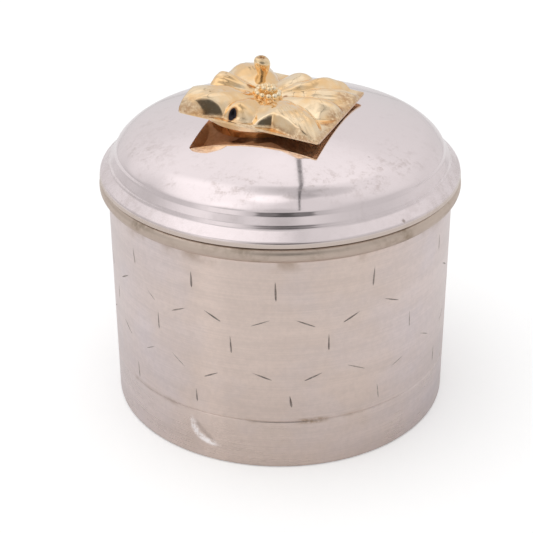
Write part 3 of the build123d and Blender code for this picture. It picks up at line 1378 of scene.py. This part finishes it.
@dataclass(frozen=True)
class Facet:
    """A flat steep face struck into the side of a petal."""

    x: float
    y: float
    facing: float
    slope: float
    half: float
    foot: float = 0.0
    end_slope: float = 0.9

    def limit(self, x: np.ndarray, y: np.ndarray) -> np.ndarray:
        """The greatest height that the face leaves.

        Args:
            x: Places across the sheet.
            y: Places along it.

        Returns:
            The limit at each place, steep again beyond the ends of the face.
        """
        angle = math.radians(self.facing)
        ahead = (x - self.x) * math.cos(angle) + (y - self.y) * math.sin(angle)
        aside = -(x - self.x) * math.sin(angle) + (y - self.y) * math.cos(angle)
        inward = -ahead + self.end_slope * np.maximum(np.abs(aside) - self.half, 0)
        return self.foot + math.tan(math.radians(self.slope)) * np.maximum(inward, 0)


@dataclass
class Flower:
    """The stamped flower with its boss of grains and curled bud.

    A stain is its place across and along the sheet, its radius and its strength. The first is no stain but
    a painted reflection of the dark opening, strong enough to turn black on a petal's tip.
    """

    side: float = 15.9
    corner: float = 0.3
    sheet: float = 0.25
    offset: Point = (-0.43, -0.85)
    level: float = 36.5
    turn: float = -21.0
    tilt: float = 5.2
    centre: float = -1.1
    start: float = 0.9
    valley: float = 0.06
    dent: float = 0.02
    dents: int = 7
    dent_seed: int = 17
    dent_pitch: Point = (1.6, 3.2)
    dent_phase: float = 6.28
    flat_edge: float = 0.2
    drawn: float = 0.6
    drawn_way: Point = (0.93, 0.36)
    petals: tuple[Petal, ...] = (
        Petal(-130.0, 10.9, 3.0, 3.6, 2.15, 3.4, 0.0, 0.02, 3.5),
        Petal(-97.0, 7.7, 2.3, 2.2, 1.7, 6.0, 0.1),
        Petal(-46.0, 11.6, 3.0, 4.2, 1.8, 2.4, 0.15, 0.07, 3.5),
        Petal(0.0, 9.0, 2.6, 2.6, 1.45, 5.0, 0.15),
        Petal(34.0, 11.2, 2.2, 2.4, 1.15, 2.2, 0.2, 0.09),
        Petal(50.0, 11.0, 2.4, 2.0, 1.65, 2.5, 0.15, 0.02),
        Petal(71.0, 7.9, 2.6, 2.4, 1.5, 6.0, 0.1),
        Petal(126.0, 10.2, 3.0, 3.0, 1.5, 2.2, 0.1, 0.03, 3.0),
        Petal(180.0, 6.75, 3.0, 3.0, 2.15, 8.0, 0.1, 0.08),
    )
    facets: tuple[Facet, ...] = (
        Facet(-4.95, -7.9, -67.5, 67.5, 1.85),
        Facet(1.4, -7.25, -68.5, 67.5, 0.9),
        Facet(-2.6, -7.4, -68.0, 68.0, 0.75, 0.4),
    )
    # The first is a painted reflection of the dark opening, black on a petal's tip; the others are stain
    # spots.
    stains_and_reflection: tuple[tuple[float, float, float, float], ...] = (
        (-2.35, -7.3, 0.48, 2.4), (-1.3, 5.3, 0.38, 1.0), (0.8, 0.65, 0.34, 0.9), (-3.3, -0.1, 0.36, 0.9),
        (7.0, -3.1, 0.6, 0.8), (7.4, -1.4, 0.9, 0.7), (7.2, 1.3, 1.1, 0.7), (6.9, 4.0, 1.2, 0.65),
    )
    front_rub: Point = (-7.1, 0.45)
    side_rub: Point = (7.0, 0.6)
    rub_width: float = 0.6
    clean_radius: float = 2.6
    clean_fade: float = 1.8
    back_dirt: float = 0.3
    boss_foot: float = 0.1
    boss_radius: float = 1.45
    boss_height: float = 0.8
    crest_radius: float = 0.8
    crest_height: float = 0.6
    top_rise: float = 0.15
    grain_radius: float = 0.38
    outer_grains: int = 11
    inner_grains: int = 6
    bud_place: Point = (-3.3, 3.6)
    bud_height: float = 3.6
    bud_flats: int = 40
    bud_bow: float = 0.16
    bud_lean: float = 0.2
    bud_lobe: float = 0.06
    bud_tip: float = -0.12
    bud_dark_row: int = 8
    bud_rows: tuple[Point, ...] = (
        (0.42, 0.25), (0.42, 0.75), (0.45, 1.2), (0.54, 1.6), (0.68, 2.0), (0.82, 2.4), (0.91, 2.75),
        (0.93, 3.0), (0.90, 3.2), (0.80, 3.42), (0.66, 3.55), (0.50, 3.6), (0.36, 3.57),
        (0.27, 3.45), (0.22, 3.3), (0.14, 3.2), (0.0, 3.15),
    )
    cells: int = 200

    def place(self) -> Matrix:
        """Where the flower's own plane lies, in millimetres."""
        turn, tilt = (
            Matrix.Rotation(math.radians(angle), 4, axis)
            for angle, axis in ((self.turn, "Z"), (self.tilt, "Y"))
        )
        return Matrix.Translation((*self.offset, self.level)) @ turn @ tilt

    def relief(self, x: np.ndarray, y: np.ndarray) -> np.ndarray:
        """The height of the pressed sheet over its flat edge.

        Args:
            x: Places across the sheet.
            y: Places along it.

        Returns:
            The height at each place.
        """
        made = np.zeros_like(x)
        for petal in self.petals:
            other = petal.height(x - self.centre, y, self.start)
            made = (made + other + np.sqrt((made - other) ** 2 + self.valley**2)) / 2
        made = np.maximum(made - self.valley / 2, 0)
        for facet in self.facets:
            made = np.minimum(made, facet.limit(x, y))
        chance = np.random.default_rng(self.dent_seed)
        waves = np.zeros_like(x)
        for _ in range(self.dents):
            angle, pitch = chance.uniform(0, math.pi), chance.uniform(*self.dent_pitch)
            phase = chance.uniform(0, self.dent_phase)
            waves += np.sin((x * math.cos(angle) + y * math.sin(angle)) / pitch * 2 * math.pi + phase)
        return made + self.dent * waves * np.clip(made / 0.5, 0, 1)

    @staticmethod
    def soften(rise: np.ndarray, times: int) -> np.ndarray:
        """Evens a height out over its neighbours.

        Args:
            rise: The height at each place of the grid.
            times: How often it is evened out.

        Returns:
            The softened height.
        """
        for _ in range(times):
            pad = np.pad(rise, 1, mode="edge")
            rise = (pad[:-2, 1:-1] + pad[2:, 1:-1] + pad[1:-1, :-2] + pad[1:-1, 2:]) / 4
        return rise

    def grid(self) -> tuple[np.ndarray, np.ndarray]:
        """Lays a grid over the sheet, with its corners drawn in to a rounding.

        Returns:
            Places across the sheet and along it.
        """
        half = self.side / 2
        steps = np.linspace(-half, half, self.cells + 1)
        x, y = np.meshgrid(steps, steps)
        inner = half - self.corner
        over_x, over_y = np.abs(x) - inner, np.abs(y) - inner
        far = np.hypot(np.maximum(over_x, 0), np.maximum(over_y, 0))
        outside = (over_x > 0) & (over_y > 0) & (far > self.corner)
        pull = np.where(outside, self.corner / np.maximum(far, NEAR_AXIS), 1.0)
        x = np.where(over_x > 0, np.sign(x) * (inner + over_x * pull), x)
        y = np.where(over_y > 0, np.sign(y) * (inner + over_y * pull), y)
        return x, y

    def dirt_and_reflection(self, x: np.ndarray, y: np.ndarray, rise: np.ndarray) -> np.ndarray:
        """How dull the face is: in its hollows, along two worn edges and in its stain spots; the first spot
        is a painted dark reflection.

        Args:
            x: Places across the sheet.
            y: Places along it.
            rise: Its height there.

        Returns:
            The dirt at each place.
        """
        away = np.clip((np.hypot(x - self.centre, y) - self.clean_radius) / self.clean_fade, 0, 1)
        hollow = np.clip((self.soften(rise, 30) - rise) / 0.2 - 0.2, 0, 1) * 0.7 * away
        front = np.clip((self.front_rub[0] - y) / self.rub_width, 0, 1) * self.front_rub[1]
        side = np.clip((x - self.side_rub[0]) / self.rub_width, 0, 1) * self.side_rub[1]
        hollow = np.maximum(hollow, np.maximum(front, side))
        # The first spot is a painted reflection of the dark opening, strong enough to turn black.
        for across, along, radius, strength in self.stains_and_reflection:
            apart = np.hypot(x - across, y - along) / radius
            hollow = np.maximum(hollow, strength * np.exp(-(apart**4)))
        return hollow

    def plate(self, gilt: Material, back: Material) -> Object:
        """The pressed sheet.

        Args:
            gilt: The finish of its face.
            back: The finish of its underside.

        Returns:
            The flower plate.
        """
        half = self.side / 2
        x, y = self.grid()
        edge = np.clip((half - np.maximum(np.abs(x), np.abs(y))) / self.flat_edge, 0, 1)
        rise = self.soften(self.relief(x, y), 2) * edge
        drawn = self.drawn * ((half - x) * (half - y) / self.side**2) ** 2
        x, y = x - self.drawn_way[0] * drawn, y - self.drawn_way[1] * drawn
        top, under = (np.stack([x, y, rise + sheet], 2) for sheet in (self.sheet, 0.0))
        made = Shop.sheet("pressed_flower", top, under, self.place())
        dirt_and_reflection = self.dirt_and_reflection(x, y, rise).ravel()
        Shop.note(made.data, "hollow", np.concatenate([dirt_and_reflection, np.full(dirt_and_reflection.size, self.back_dirt)]))
        Shop.dress(made, gilt, back)
        sides = np.zeros(len(made.data.polygons), np.int32)
        sides[self.cells**2 : 2 * self.cells**2] = 1
        made.data.polygons.foreach_set("material_index", sides)
        return made

    def boss_recipe(self, gilt: Material) -> Recipe:
        """The tree that rings the boss with grains.

        Args:
            gilt: The finish of the grains.

        Returns:
            The finished tree.
        """
        tree = Recipe("grains")
        size = tree.size("Grain radius", "Float", self.grain_radius * MM)
        finish = tree.size("Finish", "Material", gilt)
        grain = tree.out("GeometryNodeMeshIcoSphere", {"Radius": size, "Subdivisions": 3}, "Mesh")
        joined = tree.add("GeometryNodeJoinGeometry", {0: tree.entry.outputs["Geometry"]})
        level = self.sheet
        rings = (
            ("Outer", self.boss_radius, self.boss_height, self.outer_grains),
            ("Inner", self.crest_radius, self.crest_height, self.inner_grains),
            ("Top", self.grain_radius / 2 + 0.001, self.top_rise, 1),
        )
        for name, radius, rise, count in rings:
            level += rise
            reach = tree.size(f"{name} ring", "Float", (radius - self.grain_radius / 2) * MM)
            up = tree.size(f"{name} level", "Float", level * MM)
            number = tree.size(f"{name} grains", "Int", count)
            line = tree.out("GeometryNodeMeshLine", {"Count": number})
            angle = tree.times(tree.math("DIVIDE", tree.out("GeometryNodeInputIndex"), number), FULL_TURN)
            across, along = (tree.times(tree.math(way, angle), reach) for way in ("COSINE", "SINE"))
            spot = tree.vector(tree.plus(across, self.centre * MM), along, up)
            terms = {"Points": tree.moved(line, spot), "Instance": grain}
            tree.feed(joined.inputs[0], tree.out("GeometryNodeInstanceOnPoints", terms))
        smooth = tree.out("GeometryNodeSetShadeSmooth", {0: joined.outputs[0]})
        tree.feed(tree.exit.inputs[0], tree.real(smooth, finish))
        return tree

    def boss(self, gilt: Material) -> Object:
        """The stepped mound in the middle, ringed with grains.

        Args:
            gilt: Its finish.

        Returns:
            The flower boss.
        """
        step = self.sheet + self.boss_height
        top = step + self.crest_height
        corners = [
            (0.0, self.boss_foot),
            (self.boss_radius, self.boss_foot),
            (self.boss_radius, step),
            (self.crest_radius, step),
            (self.crest_radius, top),
            (0.0, top),
        ]
        profile = Profile()
        profile.chain(corners, (0.0, 0.0, 0.25, 0.15, 0.25, 0.0))
        made = Shop.turn("grained_boss", profile, 64)
        made.data.transform(Matrix.Translation((self.centre * MM, 0, 0)))
        self.boss_recipe(gilt).run(made)
        place = self.place()
        place.translation *= MM
        made.data.transform(place)
        return made

    def bud(self, gilt: Material) -> Object:
        """The curled bud: a small flared tube that leans a little.

        Args:
            gilt: Its finish.

        Returns:
            The flower bud.
        """
        rows, flats = self.bud_rows, self.bud_flats
        across, along = self.bud_place
        places: list[tuple[float, float, float]] = []
        for radius, height in rows[:-1]:
            share = height / self.bud_height
            bow = self.bud_bow * math.sin(share * math.pi) - self.bud_lean * share
            for angle in Shop.angles(flats):
                lobe = 1 + self.bud_lobe * math.cos(3 * angle + 0.6) * min(1.0, height / 2)
                x, y = radius * lobe * math.cos(angle), radius * lobe * math.sin(angle)
                places.append((across + bow + x, along + y, height))
        places.append((across + self.bud_tip, along, rows[-1][1]))
        tip, last = len(rows) - 1, (len(rows) - 2) * flats
        faces = [list(range(flats))[::-1], *Shop.quads(tip, flats)]
        faces.extend([last + one, last + (one + 1) % flats, len(places) - 1] for one in range(flats))
        made = Shop.piece("curled_bud", np.array(places), faces, None, self.place())
        deep = np.clip((np.arange(tip) - self.bud_dark_row) / 5, 0, 1)
        Shop.note(made.data, "hollow", np.append(np.repeat(deep, flats), 1.0))
        return Shop.dress(made, gilt)

    def build(self, gilt: Material, back: Material, matt: Material) -> None:
        """Makes the flower's pieces and dresses the ring under it.

        Args:
            gilt: The finish of the sheet's face and the ring.
            back: The finish of the sheet's underside.
            matt: The finish of the boss and the bud.
        """
        Shop.seat(self.plate(gilt, back), Body.LID, Slot.GILT, "flower_plate")
        Shop.seat(self.boss(matt), Body.LID, Slot.GILT, "flower_boss")
        Shop.seat(self.bud(matt), Body.LID, Slot.GILT, "flower_bud")
        Shop.dress(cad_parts["flower_seat"], gilt)


@dataclass
class Fastener:
    """The stud under the flower with its washer and nut, inside the lid."""

    radius: float = 0.9
    pitch: float = 0.4
    thread_depth: float = 0.16
    stud_flats: int = 40
    stud_rows: int = 120
    stud_short: float = 0.12
    lead_in: float = 0.3
    washer_radius: float = 2.4
    washer_gap: float = 0.1
    washer_rounds: tuple[float, ...] = (0.06, 0.1, 0.12, 0.06)
    nut_flats: float = 4.0
    nut_chamfer: float = 0.22
    nut_gap: float = 0.02
    bore_chamfer: float = 0.12
    sharp_angle: float = 28.0

    def stud(self) -> Object:
        """Makes the stud with its cut thread.

        Returns:
            The stud.
        """
        low, high = (corner.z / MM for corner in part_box("flower_stud"))
        flats, rows = self.stud_flats, self.stud_rows
        places: list[tuple[float, float, float]] = []
        for height in np.linspace(low, high - self.stud_short, rows):
            end = min(1.0, (height - low) / self.lead_in)
            for angle in Shop.angles(flats):
                tooth = abs(2 * ((height / self.pitch - angle / FULL_TURN) % 1.0) - 1)
                radius = (self.radius - self.thread_depth * tooth) * (0.75 + 0.25 * end)
                places.append((radius * math.cos(angle), radius * math.sin(angle), height))
        caps = [list(range(flats))[::-1], list(range((rows - 1) * flats, rows * flats))]
        return Shop.piece("threaded_stud", np.array(places), caps + Shop.quads(rows, flats))

    def washer(self) -> Object:
        """Makes the washer with its stamped, rounded edges.

        Returns:
            The washer.
        """
        low, high = (corner.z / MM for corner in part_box("stud_washer"))
        hole, edge = self.radius + self.washer_gap, self.washer_radius
        profile = Profile()
        corners = [(hole, low), (edge, low), (edge, high), (hole, high)]
        profile.chain(corners, self.washer_rounds, closed=True)
        return Shop.turn("pressed_washer", profile, 96)

    def nut(self) -> Object:
        """Makes the six-sided nut with turned chamfers.

        Returns:
            The nut.
        """
        low, high = (corner.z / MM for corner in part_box("stud_nut"))
        flats, sixth = 96, math.pi / 6
        angles, even = Shop.angles(flats), np.ones(flats)
        hexagon = self.nut_flats / 2 / np.cos((angles + sixth) % (2 * sixth) - sixth)
        bore, cut = self.radius + self.nut_gap, self.bore_chamfer
        round_top = self.nut_flats / 2 * 1.02
        slope = self.nut_chamfer / (self.nut_flats / 2 / math.cos(sixth) - round_top)
        drop = np.maximum(hexagon - round_top, 0) * slope
        face = np.minimum(hexagon, round_top)
        rings = [
            (bore * even, (low + cut) * even),
            ((bore + cut) * even, low * even),
            (face, low * even),
            (hexagon, low + drop),
            (hexagon, high - drop),
            (face, high * even),
            ((bore + cut) * even, high * even),
            (bore * even, (high - cut) * even),
        ]
        places = [
            np.column_stack([radius * np.cos(angles), radius * np.sin(angles), height])
            for radius, height in rings
        ]
        faces = Shop.quads(len(rings), flats, closed=True)
        return Shop.piece("six_sided_nut", np.concatenate(places), faces)

    def build(self, white: Material) -> None:
        """Makes the three small pieces.

        Args:
            white: Their finish.
        """
        stud, washer, nut = self.stud(), self.washer(), self.nut()
        for made in (stud, nut):
            made.data.set_sharp_from_angle(angle=math.radians(self.sharp_angle))
        for made, node in ((stud, "flower_stud"), (washer, "stud_washer"), (nut, "stud_nut")):
            Shop.seat(Shop.dress(made, white), Body.LID, Slot.WHITE, node)


@dataclass
class Studio:
    """White tent round the box, pale floor and the camera that looks in through its front.

    A patch of the tent is its direction, how far it reaches in degrees and what it adds.
    """

    eye: tuple[float, float, float] = (0.0, -146.69, 93.95)
    aim: tuple[float, float, float] = (-1.645, 0.0, 15.110)
    roll: float = -0.3804
    lens: float = 93.0
    sensor: float = 36.0
    near: float = 0.005
    floor_size: float = 3.0
    floor_drop: float = 0.00002
    floor: Tint = Tint(0.90, 0.90, 0.90)
    floor_roughness: float = 0.9
    floor_gloss: float = 0.1
    floor_glow: float = 0.27
    white: Tint = Tint(1.0, 1.0, 1.0)
    daylight: float = 0.62
    tent: float = 0.73
    patches: tuple[tuple[float, float, float, float, float], ...] = (
        (-0.50, -0.08, 0.86, 38, 0.36), (-0.1, 0.8, 0.6, 50, 0.10), (0.02, 0.2, 0.98, 17, -0.19),
        (-0.07, -0.2, 0.97, 13, 0.22), (-0.99, 0.09, 0.09, 50, -0.15), (0.84, -0.48, 0.26, 45, -0.12),
        (-0.49, -0.59, 0.62, 13, -0.18), (-0.31, 0.53, 0.79, 28, 0.11), (-0.45, -0.45, 0.77, 14, 0.10),
        (0.54, 0.20, 0.82, 35, 0.10), (0.29, 0.05, 0.96, 14, -0.19), (-0.59, -0.76, 0.26, 24, 0.17),
        (0.03, 0.98, 0.17, 45, -0.07), (-0.76, 0.47, 0.44, 17, 0.16), (0.15, 0.55, 0.82, 18, 0.11),
        (0.02, -0.64, 0.77, 13, -0.16), (0.14, -0.10, 0.98, 9, -0.18),
    )
    opening: tuple[float, float, float] = (0.06, -0.95, 0.31)
    opening_half: Point = (0.33, 0.27)
    seam_across: tuple[float, float, float] = (1.0, 0.0926, 0.0)
    seam_place: float = 0.1205
    seam_half: Point = (0.006, 0.010)
    seam_dark: float = 0.75
    key_size: float = 0.8
    key_power: float = 2.2
    key_place: tuple[float, float, float] = (-0.14, -0.06, 0.8)
    key_way: tuple[float, float, float] = (0.14, 0.06, -0.78)

    def camera(self) -> None:
        """Sets the camera where the picture was taken from."""
        eye, aim = Vector(self.eye) * MM, Vector(self.aim) * MM
        ahead = (aim - eye).normalized()
        right = ahead.cross(Vector((0, 0, 1))).normalized()
        up = right.cross(ahead)
        turn = math.radians(self.roll)
        across = right * math.cos(turn) + up * math.sin(turn)
        upward = up * math.cos(turn) - right * math.sin(turn)
        data = bpy.data.cameras.new("camera")
        data.lens, data.sensor_width, data.clip_start = self.lens, self.sensor, self.near
        made = Shop.link("camera", data)
        rows = Matrix((across, upward, -ahead)).transposed().to_4x4()
        made.matrix_world = Matrix.Translation(eye) @ rows
        bpy.context.scene.camera = made

    def ground(self) -> None:
        """Lays the pale floor, which keeps the box's shadow."""
        half = self.floor_size / 2
        mesh = bpy.data.meshes.new("floor")
        corners = ((-half, -half), (half, -half), (half, half), (-half, half))
        mesh.from_pydata([(x, y, -self.floor_drop) for x, y in corners], [], [[0, 1, 2, 3]])
        made = Shop.link("floor", mesh)
        material = bpy.data.materials.new("pale_floor")
        material.use_nodes = True
        graph = Graph(material.node_tree)
        path = graph.add("ShaderNodeLightPath").outputs
        seen = graph.most(path["Is Camera Ray"], path["Is Transmission Ray"])
        surface = graph.tree.nodes["Principled BSDF"].inputs
        graph.feed(surface["Base Color"], self.floor)
        graph.feed(surface["Roughness"], self.floor_roughness)
        graph.feed(surface["Specular IOR Level"], self.floor_gloss)
        graph.feed(surface["Emission Color"], self.white)
        graph.feed(surface["Emission Strength"], graph.times(seen, self.floor_glow))
        mesh.materials.append(material)

    def hole(self, graph: Graph, towards: Socket) -> Socket:
        """How dark the tent's opening is, with its soft skirt.

        Args:
            graph: The tent's nodes.
            towards: The direction that is looked in.

        Returns:
            The share of light that is missing there.
        """
        ahead = Vector(self.opening).normalized()
        side = ahead.cross(Vector((0, 0, 1))).normalized()
        wide, tall = (
            graph.math("DIVIDE", graph.dot(towards, tuple(way)), half)
            for way, half in zip((side, side.cross(ahead)), self.opening_half)
        )
        gap = graph.slant(wide, tall)
        dark = graph.most(
            graph.span(gap, 0.9, 1.2, 0.72, 0.0),
            graph.span(gap, 0.4, 0.8, 0.87, 0.0),
            graph.span(gap, 1.0, 1.9, 0.25, 0.0),
        )
        return graph.times(dark, graph.span(graph.dot(towards, tuple(ahead)), 0.2, 0.4))

    def tent_light(self) -> None:
        """Lights the box from a white tent with an opening and a seam at its front."""
        world = bpy.data.worlds.new("white_tent")
        world.use_nodes = True
        bpy.context.scene.world = world
        graph = Graph(world.node_tree)
        towards = graph.out("ShaderNodeTexCoord", which="Generated")
        level = self.tent
        for *way, reach, gain in self.patches:
            facing = graph.dot(towards, tuple(Vector(way).normalized()))
            level = graph.plus(level, graph.span(facing, math.cos(math.radians(reach)), 1.0, 0.0, gain))
        _, along, up = graph.split(towards)
        seam = graph.times(
            graph.span(
                graph.gap(graph.dot(towards, self.seam_across), self.seam_place),
                *self.seam_half, self.seam_dark, 0.0,
            ),
            graph.span(up, 0.3, 0.5),
            graph.span(along, -0.66, -0.58),
        )
        shown = graph.times(level, graph.less(1.0, graph.most(self.hole(graph, towards), seam)))
        path = graph.add("ShaderNodeLightPath").outputs
        mirrored = graph.most(path["Is Glossy Ray"], path["Is Transmission Ray"])
        picked = graph.out("ShaderNodeMix", {0: mirrored, 2: self.daylight, 3: shown}, data_type="FLOAT")
        back = graph.tree.nodes["Background"].inputs
        graph.feed(back["Color"], self.white)
        graph.feed(back["Strength"], graph.most(picked, path["Is Camera Ray"]))

    def key(self) -> None:
        """Hangs one broad soft lamp overhead, a little to the left."""
        data = bpy.data.lights.new("key", "AREA")
        data.shape, data.size, data.energy = "DISK", self.key_size, self.key_power
        made = Shop.link("key", data)
        made.location = self.key_place
        made.rotation_euler = Vector(self.key_way).to_track_quat("-Z", "Y").to_euler()
        made.visible_glossy = False

    def build(self) -> None:
        """Sets the whole studio up."""
        for step in (self.camera, self.ground, self.tent_light, self.key):
            step()
        bpy.context.scene.view_settings.view_transform = "Standard"


def main() -> None:
    """Builds the box piece by piece, then the studio."""
    logging.basicConfig(level=logging.INFO, format="%(name)s: %(message)s")
    gilt = Gilt().make()
    back = Gilt(
        "gilt_back", Tint(1.0, 0.66, 0.37), Tint(1.0, 0.72, 0.43), Tint(0.55, 0.30, 0.13), 0.70
    ).make()
    matt = Gilt("gilt_matt", Tint(1.0, 0.76, 0.47), Tint(1.0, 0.85, 0.62), roughness=0.2).make()
    Drum().build(SatinSilver().make(), BeadSilver().make(), CutSilver().make())
    Lid().build(PolishedSilver().make())
    Flower().build(gilt, back, matt)
    Fastener().build(WhiteMetal().make())
    Studio().build()
    LOG.info("boxes written")


if __name__ == "__main__":
    main()
